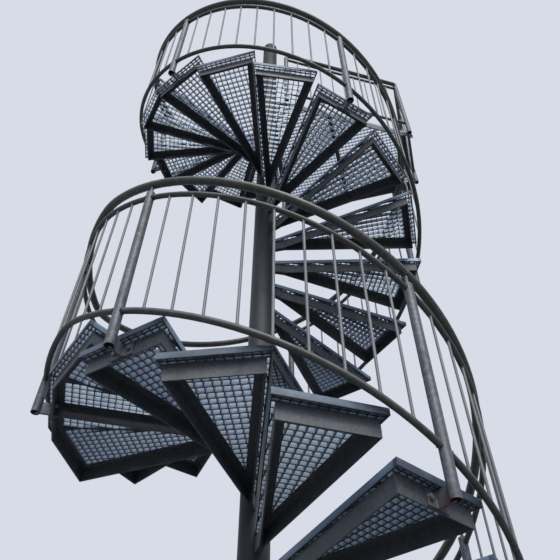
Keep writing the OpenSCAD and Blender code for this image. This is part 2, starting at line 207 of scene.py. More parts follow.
def set_at(surface, places, axes, spins=None):
    """Copies of a surface whose Z points along each axis, at each place: point = place + x u + y v + z w."""
    points, faces = surface
    places, axes = np.atleast_2d(places).astype(float), np.atleast_2d(axes).astype(float)
    w = axes / np.linalg.norm(axes, axis=1, keepdims=True)
    helper = np.where(np.abs(w[:, 2:]) > steep, [[1.0, 0.0, 0.0]], [[0.0, 0.0, 1.0]])
    u = np.cross(helper, w)
    u /= np.linalg.norm(u, axis=1, keepdims=True)
    v = np.cross(w, u)
    if spins is not None:
        c, s = np.cos(spins)[:, None], np.sin(spins)[:, None]
        u, v = u * c + v * s, v * c - u * s
    turn = np.stack([u, v, w], axis=1)
    copies = np.einsum("pi,nij->npj", points, turn) + places[:, None]
    shift = np.arange(len(places))[:, None, None] * len(points)
    return copies.reshape(-1, 3), (np.asarray(faces)[None] + shift).reshape(-1, np.shape(faces)[1])


def lifted(surface, height):
    """The same surface moved up by a height."""
    return surface[0] + [0, 0, height], surface[1]


def along(path, radius, sides):
    """A round bar carried along a path of points (n, 3), with a flat end at each end of it.

    At each point the ring lies in the plane across the path: across = tangent x up, second = tangent x
    across, and the ring is path + radius (across cos a + second sin a). The radius is one number or one for
    each point. Where the path is too steep for Z to serve as up, a level direction does.
    """
    path = np.asarray(path, float)
    steps = np.diff(path, axis=0)
    steps /= np.linalg.norm(steps, axis=1, keepdims=True)
    tangent = np.concatenate([steps[:1], steps[:-1] + steps[1:], steps[-1:]])
    tangent /= np.linalg.norm(tangent, axis=1, keepdims=True)
    upward, sideways = np.array([0.0, 0.0, 1.0]), np.array([0.31, 0.95, 0.0])
    across = np.cross(tangent, sideways if np.abs(tangent[:, 2]).max() > steep else upward)
    across /= np.linalg.norm(across, axis=1, keepdims=True)
    second = np.cross(tangent, across)
    radius = np.broadcast_to(radius, len(path)).astype(float)
    path, across, second = (np.concatenate([a[:1], a, a[-1:]]) for a in (path, across, second))
    radius = np.concatenate([[0.0], radius, [0.0]])
    turn = np.arange(sides) * 2 * np.pi / sides
    ring = across[:, None] * np.cos(turn)[:, None] + second[:, None] * np.sin(turn)[:, None]
    points = path[:, None] + radius[:, None, None] * ring
    return points.reshape(-1, 3), ring_faces(len(path), sides)


swell = 0.1


def weld(path, radius, ripple=0.006, sides=6):
    """A weld bead along a path: a round bar whose radius rises and falls by a tenth with each ripple."""
    path = np.asarray(path, float)
    run = np.concatenate([[0.0], np.cumsum(np.linalg.norm(np.diff(path, axis=0), axis=1))])
    marks = np.linspace(0.0, run[-1], max(3, int(run[-1] / ripple * 2) + 1))
    fine = np.stack([np.interp(marks, run, path[:, i]) for i in range(3)], axis=1)
    return along(fine, radius * (1 + swell * np.cos(marks / ripple * 2 * np.pi)), sides)


def ring_weld(reach, radius, ripples, sides=6):
    """A closed weld bead round the Z axis: a torus whose tube swells and shrinks by a tenth with each ripple.

    With t = radius (1 + 0.1 cos(ripples a)), a point is at reach + t cos b from the axis and t sin b high.
    """
    turn = np.arange(ripples * 2) * np.pi / ripples
    tube = np.arange(sides) * 2 * np.pi / sides
    thick = radius * (1 + swell * np.cos(turn * ripples))
    out = reach + thick[:, None] * np.cos(tube)
    height = thick[:, None] * np.sin(tube)
    points = np.stack([out * np.cos(turn)[:, None], out * np.sin(turn)[:, None], height], axis=-1)
    i, k = np.meshgrid(np.arange(len(turn)), np.arange(sides), indexing="ij")
    j, n = (i + 1) % len(turn), (k + 1) % sides
    quads = np.stack([i * sides + k, j * sides + k, j * sides + n, i * sides + n], axis=-1)
    return points.reshape(-1, 3), quads.reshape(-1, 4)


column_r = 0.06985
base_t = 0.020
# Faces that look down take painted shade by the default weight.
base_zinc = galvanised("base_zinc", colour=(0.20, 0.205, 0.21), grime_and_shade=(0.085, 0.082, 0.075),
                       blotch=0.55, streaks=0.35)
finish_nodes(base_zinc, "base_plate")

gusset_half = 0.005
gusset_reach = column_r + 0.110
stub_top = 0.078
foot_bead, upright_bead, stub_bead = 0.0042, 0.0038, 0.0045
gusset_welds = []
for quarter in range(4):
    turn = quarter * np.pi / 2
    out, left = np.array([np.cos(turn), np.sin(turn), 0.0]), np.array([-np.sin(turn), np.cos(turn), 0.0])
    for side in (-gusset_half, gusset_half):
        corner = out * column_r + left * side + [0, 0, base_t]
        foot = out * gusset_reach + left * side + [0, 0, base_t]
        head = out * column_r + left * side + [0, 0, stub_top]
        gusset_welds += [weld([corner, foot], foot_bead), weld([corner, head], upright_bead)]
gusset_welds.append(lifted(ring_weld(column_r, stub_bead, ripples=60), base_t))
made_piece("base_welds", gusset_welds, base_zinc)


# Anchor bolts
# Four M20 threaded rods cast in the footing, each with a thick washer and a hexagon nut on the base plate.
# Zinc-plated steel, with the bare end of the thread standing over the nut.

anchor_reach = 0.230
anchor_washer_t, anchor_nut_h, anchor_end = 0.004, 0.017, 0.040
anchor_angles = np.radians([45, 135, 225, 315])
anchor_places = [[anchor_reach * np.cos(a), anchor_reach * np.sin(a), base_t] for a in anchor_angles]
# Faces that look down take painted shade by the default weight.
bolt_zinc = galvanised("bolt_zinc", colour=(0.14, 0.143, 0.147), grime_and_shade=(0.07, 0.06, 0.05),
                       blotch=0.5, streaks=0.2, metal=0.5, rough=0.46)


def nut(flats, height):
    """A hexagon nut with both its faces chamfered, standing on z = 0."""
    cut = flats * 0.07
    face_r, top_r = flats * 0.49, flats * 0.48
    corner = flats / 2 / np.cos(np.pi / 6)
    profile = [(0, 0), (face_r, 0), (corner, cut), (corner, height - cut), (top_r, height), (0, height)]
    return turned(profile, sides=36, flats=flats)


def washer(across, thick):
    """A flat round washer with a small bevel, standing on z = 0."""
    r, bevel = across / 2, thick * 0.3
    return turned([(0, 0), (r, 0), (r, thick * 0.7), (r - bevel, thick), (0, thick)], sides=28)


def thread(diameter, low, high, pitch, sides=16):
    """The end of a threaded rod along Z: ridges a pitch apart and half a pitch deep, and a chamfered tip."""
    count = int((high - low) / pitch)
    ridge = [(diameter / 2 - pitch * 0.5 * (k % 2), low + k * pitch / 2) for k in range(2 * count)]
    return turned([(0, low)] + ridge + [(diameter / 2 - pitch, high), (0, high)], sides)


anchor_washer = washer(across=0.037, thick=anchor_washer_t)
anchor_nut = lifted(nut(flats=0.030, height=anchor_nut_h), anchor_washer_t)
anchor_thread = thread(diameter=0.020, low=anchor_washer_t + anchor_nut_h, high=anchor_end, pitch=0.0025)
up = [[0, 0, 1]] * len(anchor_places)
anchor_spins = np.radians([12, 41, 5, 28])
made_piece("anchor_bolts", [
    set_at(anchor_washer, anchor_places, up), set_at(anchor_nut, anchor_places, up, anchor_spins),
    set_at(anchor_thread, anchor_places, up)], bolt_zinc)


# Column
# A stack of tread sleeves over a core tube, closed by a welded cap. Zinc-coated steel tube that hands and
# weather have dulled, with a thin dark joint where one sleeve stands on the next. Its very dark colour is
# partly that dull zinc and partly painted shade, the shade the column stands in under the treads.

rise = 0.186
joint_colour = (0.018, 0.018, 0.017)


def sleeve_joints(sheet, place, patches, spots, shade):
    """Darkens 2 mm on both sides of each multiple of the rise, and patches in the 28 mm next to it."""
    height = sheet.node("ShaderNodeSeparateXYZ", None, {"Vector": place}, output=2)
    step = sheet.node("ShaderNodeMath", {"operation": "PINGPONG"}, {0: height, 1: rise / 2})
    joint = 1.0 - step.above(0.0006, 0.0022)
    dust = (1.0 - step.above(0.0, 0.028)) * patches.above(0.35, 0.7)
    return (joint * 0.75 + dust * 0.3).above(0.0, 1.0).blend(shade, joint_colour)


# The column's very dark colour is partly dull zinc and partly painted shade from the treads above.
column_zinc = galvanised("column_zinc", colour=(0.030, 0.033, 0.038), grime_and_shade=(0.017, 0.018, 0.020),
                         blotch=0.4, streaks=0.45, underside_shade=0.2, metal=0.2, rough=0.6, gloss=0.2,
                         extra=sleeve_joints)
finish_nodes(column_zinc, "column_core", "column_top", "column_cap")
column_top_z = 8.384
cap_bead, cap_bead_sunk = 0.0022, 0.0005
cap_weld = ring_weld(column_r - cap_bead_sunk, cap_bead, ripples=50)
made_piece("cap_weld", [lifted(cap_weld, column_top_z)], column_zinc)


# Tread carriers
# Each tread hangs on a frame of steel angles welded to its own sleeve: two sides run out from a block at
# the column, and an end angle joins them. Galvanised after welding, so dull, with painted shade making the
# undersides darkest. The landing's and the platform's frames are made and finished the same way.

step_angle = 23.0
start_azimuth = 286.0
landing_slots = (19, 20, 21)
last_slot = 40


def azimuth(slot):
    """Direction of a slot in radians, anticlockwise from +X: each slot turns clockwise by one step angle."""
    return np.radians(start_azimuth - (np.asarray(slot, float) - 1) * step_angle)


def level(slot):
    """Height of a slot in steps: it rises by one for each slot, and stays the same across the landing."""
    slot = np.asarray(slot, float)
    return np.minimum(slot, landing_slots[0]) + np.maximum(slot - landing_slots[-1], 0)


def on_tread(slot, x, y, z):
    """A place on a slot: x out from the column, y to its left, and z from the top of its tread."""
    a = azimuth(slot)
    return np.stack(np.broadcast_arrays(x * np.cos(a) - y * np.sin(a), x * np.sin(a) + y * np.cos(a),
                                        level(slot) * rise + z), axis=-1)


def from_axis(sheet, place):
    """The distance of a place from the column's axis."""
    flat = sheet.node("ShaderNodeVectorMath", {"operation": "MULTIPLY"}, {0: place, 1: (1.0, 1.0, 0.0)})
    return sheet.node("ShaderNodeVectorMath", {"operation": "LENGTH"}, {0: flat}, output=1)


pale_fleck, dark_fleck = (0.125, 0.127, 0.133), (0.028, 0.028, 0.028)
# The sleeves' colour is the column's: partly dull zinc and partly painted shade.
sleeve_shade_colour = (0.013, 0.016, 0.021)


def mottled(sheet, place, patches, spots, shade):
    """Pale flecks of 5 to 20 mm, kept off the faces that look down so that the painted shade there stays
    dark, dark ones all over, and the column's finish.

    The sleeves belong to the same pieces as the frames, so what lies within the column's radius takes the
    column's darker colour, partly dull zinc and partly painted shade, and its joints.
    """
    fleck = sheet.node("ShaderNodeTexNoise", None,
                       {"Vector": place, "Scale": 75.0, "Detail": 7.0, "Roughness": 0.7})
    facing = sheet.node("ShaderNodeNewGeometry", output=1)
    # Pale flecks stay off the faces that look down, so the painted shade there stays dark.
    not_facing_down = sheet.node("ShaderNodeSeparateXYZ", None, {"Vector": facing}, output=2).above(-0.7, -0.2)
    shade = (fleck.above(0.50, 0.66) * not_facing_down * 0.5).blend(shade, pale_fleck)
    shade = ((1.0 - fleck.above(0.34, 0.48)) * 0.55).blend(shade, dark_fleck)
    # Painted shade, with the dull zinc, on the sleeves inside the column's radius.
    sleeve = 1.0 - from_axis(sheet, place).above(column_r + 0.001, column_r + 0.004)
    shade = (sleeve * 0.85).blend(shade, sleeve_shade_colour)
    return sleeve_joints(sheet, place, patches, spots, shade)


tread_slots = [s for s in range(1, last_slot + 1) if s not in landing_slots]
# The frames' faces that look down take strong painted shade.
carrier_zinc = galvanised("carrier_zinc", colour=(0.078, 0.084, 0.095), grime_and_shade=(0.022, 0.024, 0.028),
                          blotch=0.38, streaks=0.3, underside_shade=1.2, metal=0.25, rough=0.55, extra=mottled)
tread_nodes = [n for n in nodes if n.startswith("tread_")]
finish_nodes(carrier_zinc, *tread_nodes, "landing_frame", "platform_frame")

frame_low, frame_high = -0.100, -0.030
nose_half = 0.012
nose_bead, nose_low_bead, nose_ripple = 0.0035, 0.003, 0.007
bead_short = 0.001
nose_welds = []
for slot in tread_slots:
    x = np.sqrt(column_r ** 2 - nose_half ** 2)
    for y in (-nose_half, nose_half):
        ends = [on_tread(slot, x, y, z) for z in (frame_low + bead_short, frame_high - bead_short)]
        nose_welds.append(weld(ends, nose_bead, nose_ripple, sides=5))
    ends = [on_tread(slot, column_r, y, frame_low) for y in (-nose_half, nose_half)]
    nose_welds.append(weld(ends, nose_low_bead, nose_ripple, sides=5))
made_piece("carrier_welds", nose_welds, carrier_zinc)


# Gratings
# Pressed open grating of 33 mm mesh: bearing bars across each tread, a band round it, and cross bars almost
# as deep, pressed in flush with the top. Brighter zinc than the frames, because shoes and rain keep it
# clean, and its blue tint is painted skylight. Bearing bars and band are in the CAD model, and the cross
# bars are made here.

tread_reach = 1.000
tread_overlap = 0.002
bar_pitch = 0.0333
band_t = 0.005
band_half = band_t / 2
column_gap = 0.006
bars_from = column_r + column_gap + band_t
cross_bar_t, cross_bar_h = 0.003, 0.0292
cross_bar_top = -0.0004
shortest_bar = 0.02
short_mesh_reach = 0.9805
edge_slope = np.tan(np.radians(step_angle / 2)) + tread_overlap / tread_reach
grating_h = 0.030
below_top = 0.050
# Painted shade on the bars: a dark strip this high along the lower edge, and a fade over this height.
shaded_edge = 0.003
shade_fade_h = 0.026
top_of_stair = float(level(last_slot)) * rise + 0.020
# Colours of the painted shade low on the bars, of the outer bands, and of the painted shade on the lower
# edges.
low_shade_colour, band_colour, edge_shade_colour = (0.07, 0.085, 0.11), (0.035, 0.047, 0.068), (0.022, 0.024, 0.028)


def bar_shade_and_bands(sheet, place, patches, spots, shade):
    """Painted shade on each bar, deepening towards its lower edge, and darker outer bands on the treads.

    Heights count from 50 mm under each tread's top. The bands are what lies in the last millimetre of the
    treads' reach and below the exit platform.
    """
    height = sheet.node("ShaderNodeSeparateXYZ", None, {"Vector": place}, output=2)
    over = sheet.node("ShaderNodeMath", {"operation": "MODULO"}, {0: height + below_top, 1: rise})
    edge = below_top - grating_h
    # Painted shade: each bar grows darker towards its lower edge.
    shade = ((1.0 - over.above(edge, edge + shade_fade_h)) * 0.45).blend(shade, low_shade_colour)
    band = from_axis(sheet, place).above(tread_reach - 0.0015, tread_reach - 0.0005)
    band = band * (1.0 - height.above(top_of_stair, top_of_stair + 0.01))
    shade = (band * (patches.above(0.36, 0.64) * 0.3 + 0.55)).blend(shade, band_colour)
    # Painted shade: a dark strip along each bar's lower edge.
    return (1.0 - over.above(edge + shaded_edge * 0.6, edge + shaded_edge * 1.4)).blend(shade, edge_shade_colour)


# Clean zinc with a blue tint of painted skylight; faces that look down take painted shade.
grating_zinc = galvanised("grating_zinc", colour=(0.215, 0.285, 0.385), grime_and_shade=(0.05, 0.055, 0.065),
                          blotch=0.3, streaks=0.12, underside_shade=1.4, metal=0.3, rough=0.44, extra=bar_shade_and_bands)
finish_nodes(grating_zinc, "lower_gratings", "landing_grating", "upper_gratings", "platform_grating")


def flat_bars(starts, ends, thick, height):
    """Flat bars on edge from each start to each end, (n, 3) each, which are the middles of their top edges.

    Each end has a ring of four corners: end + side, end - side, and both a height lower, where side is
    run x up, half as long as the bar is thick.
    """
    starts, ends = np.asarray(starts, float), np.asarray(ends, float)
    run = ends - starts
    run /= np.linalg.norm(run, axis=1, keepdims=True)
    side = np.cross(run, [0.0, 0.0, 1.0]) * thick / 2
    drop = np.array([0.0, 0.0, -height])
    ring = np.stack([side, -side, drop - side, drop + side], axis=1)
    points = np.stack([starts[:, None] + ring, ends[:, None] + ring], axis=1)
    box = np.array([[0, 1, 5, 4], [1, 2, 6, 5], [2, 3, 7, 6], [3, 0, 4, 7], [3, 2, 1, 0], [4, 5, 6, 7]])
    quads = box[None] + np.arange(len(starts))[:, None, None] * 8
    return points.reshape(-1, 3), quads.reshape(-1, 4)


def cross_bars(slot, slope, edge):
    """The bars of one tread's grating that run out from the column, cut off at its sloping sides.

    They lie parallel to the tread's middle, one pitch apart. One bar more runs along the outer band, where
    the last mesh is cut short: its ends lie at y = +-(slope x - edge).
    """
    count = int((slope * tread_reach - edge) / bar_pitch)
    y = np.arange(-count, count + 1) * bar_pitch
    inner = np.sqrt(np.maximum(bars_from ** 2 - y ** 2, 0.0))
    start = np.maximum((np.abs(y) + edge) / slope, inner)
    end = np.full_like(start, tread_reach - band_half)
    keep = end - start > shortest_bar
    half = slope * short_mesh_reach - edge
    places = [(start[keep], y[keep], end[keep], y[keep]),
              (short_mesh_reach, -half, short_mesh_reach, half)]
    starts = [np.atleast_2d(on_tread(slot, x, left, cross_bar_top)) for x, left, _, _ in places]
    ends = [np.atleast_2d(on_tread(slot, x, left, cross_bar_top)) for _, _, x, left in places]
    return flat_bars(np.concatenate(starts), np.concatenate(ends), cross_bar_t, cross_bar_h)


lower_slots = [s for s in tread_slots if s < landing_slots[0]]
upper_slots = [s for s in tread_slots if s > landing_slots[-1]]
landing_gap = 0.001
landing_slope = np.tan(np.radians(step_angle / 2))
for flight, slots, slope, edge in (("lower", lower_slots, edge_slope, band_half),
                                   ("upper", upper_slots, edge_slope, band_half),
                                   ("landing", landing_slots, landing_slope, band_half + landing_gap)):
    bars = [cross_bars(slot, slope, edge) for slot in slots]
    made_piece(flight + "_cross_bars", bars, grating_zinc)

platform_z = 7.254
front_azimuth = np.radians(30.0)
arrival_azimuth = azimuth(last_slot) - np.radians(step_angle / 2)
left_x = -tread_reach * np.sin(arrival_azimuth - np.pi / 2)
right_x = 1.183
wall_face_y = 1.298
platform_x = np.arange(left_x + bar_pitch, right_x - band_t, bar_pitch)
front_y = np.where(platform_x > 0, platform_x * np.tan(front_azimuth), platform_x * np.tan(arrival_azimuth))
column_y = np.sqrt(np.maximum(bars_from ** 2 - platform_x ** 2, 0.0))
platform_start = np.maximum(front_y + band_half, column_y)
platform_end = np.full_like(platform_x, wall_face_y - band_half)
bar_top = np.full_like(platform_x, platform_z + cross_bar_top)
made_piece("platform_cross_bars", [flat_bars(
    np.stack([platform_x, platform_start, bar_top], axis=1),
    np.stack([platform_x, platform_end, bar_top], axis=1), cross_bar_t, cross_bar_h)],
    grating_zinc)


# Posts
# Steel tubes with an open foot, each welded by a short arm to a plate that is bolted on a tread's frame or
# on the platform's. A solid pin on the closed top carries the handrail. Blotchy blue-grey zinc with
# yellow-brown runs down from the welds.

post_reach = 1.042
carrier_reach = 0.966
post_r = 0.0212
post_h = 0.905
post_slots = [1, 3, 6, 9, 12, 15, 18, 20, 22, 25, 28, 31, 34, 37, 40]
rusted_slot, rust_in, rust_z = 15, 0.020, -0.092
rusted_foot = on_tread(rusted_slot, post_reach - rust_in, 0.0, rust_z)
brown_run, zinc_cloud, rust_colour = (0.125, 0.083, 0.036), (0.165, 0.18, 0.225), (0.10, 0.034, 0.016)


def runs_and_rust(sheet, place, patches, spots, shade):
    """Yellow-brown runs drawn out along Z, pale clouds of zinc, and rust at one post's open foot."""
    thin = sheet.node("ShaderNodeMapping", None, {"Vector": place, "Scale": (55.0, 55.0, 1.1)})
    runs = sheet.node("ShaderNodeTexNoise", None, {"Vector": thin, "Scale": 1.0, "Detail": 3.0})
    shade = (runs.above(0.58, 0.70) * 0.45).blend(shade, brown_run)
    cloud = sheet.node("ShaderNodeTexNoise", None,
                       {"Vector": place, "Scale": 48.0, "Detail": 6.0, "Roughness": 0.65})
    shade = (cloud.above(0.47, 0.60) * 0.65).blend(shade, zinc_cloud)
    reach = sheet.node("ShaderNodeVectorMath", {"operation": "DISTANCE"},
                       {0: place, 1: tuple(rusted_foot)}, output=1)
    rust = (1.0 - reach.above(0.012, 0.048)) * spots.above(0.3, 0.62)
    return rust.blend(shade, rust_colour)


# Faces that look down take painted shade.
post_zinc = galvanised("post_zinc", colour=(0.100, 0.108, 0.122), grime_and_shade=(0.043, 0.043, 0.040), blotch=0.5,
                       streaks=0.4, underside_shade=0.9, metal=0.3, rough=0.5, gloss=0.35, extra=runs_and_rust)
finish_nodes(post_zinc, "lower_posts", "upper_posts", "platform_posts")

# Places and outward directions of all posts: the stair's, then those of the platform
stair_post_at = np.array([on_tread(s, post_reach, 0.0, 0.0) for s in post_slots])
stair_post_out = np.array([[np.cos(azimuth(s)), np.sin(azimuth(s)), 0.0] for s in post_slots])
post_offset = post_reach - tread_reach
wall_post_gap = 0.060
inner_post_distance = 0.093
right_line, left_line = right_x + post_offset, left_x - post_offset
corner_y = right_line * np.tan(front_azimuth) - post_offset / np.cos(front_azimuth)
end_y = wall_face_y - wall_post_gap
front = np.array([np.cos(front_azimuth), np.sin(front_azimuth), 0.0])
front_out = np.array([np.sin(front_azimuth), -np.cos(front_azimuth), 0.0])
inner_post = front * (column_r + inner_post_distance) + front_out * post_offset
platform_post_at = np.array([
    [inner_post[0], inner_post[1], platform_z], [right_line, corner_y, platform_z],
    [right_line, end_y, platform_z], [left_line, end_y, platform_z]])
platform_post_out = np.array([front_out, front_out, [1.0, 0, 0], [-1.0, 0, 0]])
post_at = np.concatenate([stair_post_at, platform_post_at])
post_out = np.concatenate([stair_post_out, platform_post_out])
post_left = np.cross([0.0, 0.0, 1.0], post_out)
arm_l = np.array([post_reach - carrier_reach] * len(stair_post_at) + [post_offset] * len(platform_post_at))
arm_half = 0.006
foot_low, foot_high = -0.096, -0.036
foot_plate_t = 0.008


def beside_post(back, side, height):
    """A place by each post: back towards the frame from its axis, side to its left, height over its tread."""
    return post_at - post_out * np.reshape(back, (-1, 1)) + post_left * side + [0.0, 0.0, height]


pin_r, pin_bead = 0.008, 0.0026
crown_r, crown_bead = 0.0185, 0.0012
arm_bead, arm_ripple, arm_bead_short = 0.003, 0.007, 0.002
upright = [[0, 0, 1]] * len(post_at)
post_welds = [set_at(lifted(ring_weld(pin_r, pin_bead, ripples=14), post_h), post_at, upright),
              set_at(lifted(ring_weld(crown_r, crown_bead, ripples=20), post_h), post_at, upright)]
for side in (-arm_half, arm_half):
    for back in (np.sqrt(post_r ** 2 - arm_half ** 2), arm_l - foot_plate_t):
        low = beside_post(back, side, foot_low + arm_bead_short)
        high = beside_post(back, side, foot_high - arm_bead_short)
        post_welds += [weld([a, b], arm_bead, arm_ripple, sides=5) for a, b in zip(low, high)]
made_piece("post_welds", post_welds, post_zinc)

bolt_side = 0.036
bolt_z = (foot_low + foot_high) / 2
angle_t = 0.006
foot_washer_t = 0.0025
foot_washer = washer(across=0.024, thick=foot_washer_t)
foot_head = lifted(nut(flats=0.019, height=0.0075), foot_washer_t)
foot_nut = lifted(nut(flats=0.019, height=0.010), foot_washer_t)
foot_thread = thread(diameter=0.012, low=0.012, high=0.019, pitch=0.00175, sides=10)
spin_apart, spin_by_side = 0.7, 9
foot_bolts = []
for side in (-bolt_side, bolt_side):
    outer = beside_post(arm_l - foot_plate_t, side, bolt_z)
    inner = beside_post(arm_l + angle_t, side, bolt_z)
    spin = np.arange(len(outer)) * spin_apart + side * spin_by_side
    foot_bolts += [set_at(foot_washer, outer, post_out), set_at(foot_head, outer, post_out, spin),
                   set_at(foot_washer, inner, -post_out), set_at(foot_nut, inner, -post_out, spin),
                   set_at(foot_thread, inner, -post_out)]
made_piece("foot_bolts", foot_bolts, bolt_zinc)


# Handrail
# Steel tube bent to the stair's climb, in lengths that meet at the posts and sit on the posts' pins. It is
# the darkest part of the guard, olive-grey where hands have worn the zinc, with painted shade on its
# underside and a dressed butt weld over each pin.

handrail_r = 0.0212
handrail_h = 0.985
path_step = 1 / 8


def smooth_level(slot, span=0.4):
    """The level averaged over a short span of slots, which bends a rail softly at the landing's ends."""
    grid = np.linspace(-span / 2, span / 2, 9)
    return level(np.asarray(slot, float)[..., None] + grid).mean(axis=-1)


def climb(slot, height):
    """A point of the guard at a slot: on the posts' circle round the column, and raised with the steps."""
    a = azimuth(slot)
    z = smooth_level(slot) * rise + height
    return np.stack([post_reach * np.cos(a), post_reach * np.sin(a), z], axis=-1)


def climb_path(first, last, height):
    """Points of the guard from one slot to another, an eighth of a slot apart."""
    count = max(2, int(round((last - first) / path_step)) + 1)
    return climb(np.linspace(first, last, count), height)


def rounded(path, bend, steps=7):
    """A path whose inner corners are bends.

    Each bend is a parabola tangent to both sides, from a distance bend before the corner to as far past it:
    (1 - t)^2 a + 2 t (1 - t) corner + t^2 b.
    """
    path = np.asarray(path, float)
    points = [path[:1]]
    t = np.linspace(0, 1, steps)[:, None]
    for before, corner, after in zip(path[:-2], path[1:-1], path[2:]):
        a = corner + (before - corner) / np.linalg.norm(before - corner) * bend
        b = corner + (after - corner) / np.linalg.norm(after - corner) * bend
        points.append((1 - t) ** 2 * a + 2 * t * (1 - t) * corner + t ** 2 * b)
    points.append(path[-1:])
    return np.concatenate(points)


worn_olive = (0.045, 0.044, 0.036)


def hand_worn(sheet, place, patches, spots, shade):
    """Patches of darker olive where the zinc has worn, between the brighter ones."""
    wear = sheet.node("ShaderNodeTexNoise", None, {"Vector": place, "Scale": 11.0, "Detail": 6.0})
    return (wear.above(0.42, 0.64) * 0.5).blend(shade, worn_olive)


# The handrail's faces that look down take strong painted shade.
handrail_zinc = galvanised("handrail_zinc", colour=(0.115, 0.118, 0.11), grime_and_shade=(0.042, 0.042, 0.036),
                           blotch=0.3, streaks=0.1, underside_shade=1.3, metal=0.3, rough=0.44, gloss=0.3,
                           extra=hand_worn)
butt_bead, butt_bead_sunk = 0.0016, 0.0004
butt_gap = 0.0002


def handrail(name, runs, replaced):
    """A handrail tube along each run, with a weld bead where two lengths meet over a pin."""
    surfaces = []
    bead = ring_weld(handrail_r - butt_bead_sunk, butt_bead, ripples=20)
    for run in runs:
        surfaces.append(along(run, handrail_r, sides=20))
        start = run[0] + (run[1] - run[0]) / np.linalg.norm(run[1] - run[0]) * butt_gap
        surfaces.append(set_at(bead, [start], [run[1] - run[0]]))
    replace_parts(made_piece(name, surfaces, handrail_zinc), replaced)


def spans(first, last):
    """The pairs of neighbouring posts of the stair from one slot to another."""
    slots = [s for s in post_slots if first <= s <= last]
    return list(zip(slots, slots[1:]))


first_slot = 1
before_landing, after_landing = landing_slots[0] - 1, landing_slots[-1] + 1
lower_lengths = [climb_path(a, b, handrail_h) for a, b in spans(first_slot, before_landing)]
upper_lengths = [climb_path(a, b, handrail_h) for a, b in spans(before_landing, last_slot)]
handrail("lower_handrail_tube", lower_lengths, "lower_handrail")
handrail("upper_handrail_tube", upper_lengths, "upper_handrail")

hand_z = platform_z + handrail_h
inner_at, corner_at, right_end_at, left_end_at = platform_post_at
level_up = np.array([0.0, 0.0, handrail_h])
last_stair = climb(last_slot, 0.0)
corner_bend = 0.030
right_wall_end, left_wall_end = [right_line, wall_face_y, hand_z], [left_line, wall_face_y, hand_z]
right_run = rounded([inner_at + level_up, corner_at + level_up, right_wall_end], corner_bend)
left_run = rounded([last_stair + level_up, left_end_at + level_up, left_wall_end], corner_bend)
handrail("platform_handrail_tube", [right_run, left_run], "platform_handrail")


# Guard panels
# Between two posts, an upper and a lower steel tube are butt-welded to the posts and hold upright round
# bars, welded in at about 120 mm. Each panel is bent and welded in the works, then galvanised as one. The
# tubes are darker than the bars, partly by weathering and partly by more painted shade on their
# undersides, so each guard is a piece of rails and a piece of bars.

rail_r = 0.01345
upper_rail_h, lower_rail_h = 0.870, 0.090
bar_r = 0.006
bar_angle = 6.9
bar_spacing = 0.123
slot_run = post_reach * np.radians(step_angle)
# Rails and bars take painted shade on faces that look down, the rails much more.
rail_zinc = galvanised("rail_zinc", colour=(0.115, 0.118, 0.118), grime_and_shade=(0.042, 0.042, 0.038), blotch=0.3,
                       streaks=0.15, underside_shade=1.3, metal=0.3, rough=0.48, gloss=0.3, extra=hand_worn)
guard_zinc = galvanised("guard_zinc", colour=(0.165, 0.168, 0.182), grime_and_shade=(0.080, 0.080, 0.078),
                        blotch=0.25, streaks=0.3, underside_shade=0.3, metal=0.3, rough=0.5, gloss=0.3)
bar_bead_r = bar_r + 0.0022
bar_bead = [(bar_r, -0.004), (bar_bead_r, -0.0015), (bar_bead_r, 0.001), (bar_r, 0.0035)]
bar_bead_off = rail_r + 0.001
rail_bead, rail_bead_off = 0.0026, 0.0015


def upright_bars(feet, height):
    """Round bars standing on each foot, with a small bead of weld at both rails."""
    up = [[0.0, 0.0, 1.0]] * len(feet)
    bar = turned([(0, 0), (bar_r, 0), (bar_r, height), (0, height)], sides=10)
    bead = turned(bar_bead, sides=10)
    return [set_at(bar, feet, up), set_at(lifted(bead, bar_bead_off), feet, up),
            set_at(lifted(bead, height - bar_bead_off), feet, up)]


def panel(lower, upper, feet):
    """Two rails with a bead round each end, and the bars between them, as two lists of surfaces."""
    rails = [along(lower, rail_r, sides=14), along(upper, rail_r, sides=14)]
    bead = ring_weld(rail_r, rail_bead, ripples=16)
    for rail in (lower, upper):
        for end, beyond in ((rail[0], rail[1]), (rail[-1], rail[-2])):
            inward = (beyond - end) / np.linalg.norm(beyond - end)
            rails.append(set_at(bead, [end + inward * rail_bead_off], [inward]))
    return rails, upright_bars(feet, upper_rail_h - lower_rail_h) if len(feet) else []


def stair_panel(first, last):
    """A panel of the stair: rails that climb from post to post, and bars at equal angles on the lower."""
    clear = post_r / slot_run
    gaps = int(round((last - first) * step_angle / bar_angle))
    feet = climb(first + (last - first) * np.arange(1, gaps) / gaps, lower_rail_h)
    lower, upper = (climb_path(first + clear, last - clear, h) for h in (lower_rail_h, upper_rail_h))
    return panel(lower, upper, feet)


def straight_panel(start, end):
    """A panel in a straight line between two posts of the platform."""
    span = end - start
    run = span / np.linalg.norm(span)
    ends = [start + run * post_r, end - run * post_r]
    gaps = max(1, int(np.ceil(np.linalg.norm(span[:2]) / bar_spacing)))
    feet = start + span * np.arange(1, gaps)[:, None] / gaps + [0, 0, lower_rail_h]
    lower, upper = ([p + [0, 0, h] for p in ends] for h in (lower_rail_h, upper_rail_h))
    return panel(lower, upper, feet)


def guard(name, panels, replaced):
    """The rails of several panels as one piece, in place of the CAD node that holds them, and their bars."""
    rails = [surface for one in panels for surface in one[0]]
    bars = [surface for one in panels for surface in one[1]]
    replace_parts(made_piece(name + "_rails", rails, rail_zinc), replaced)
    made_piece(name + "_bars", bars, guard_zinc)


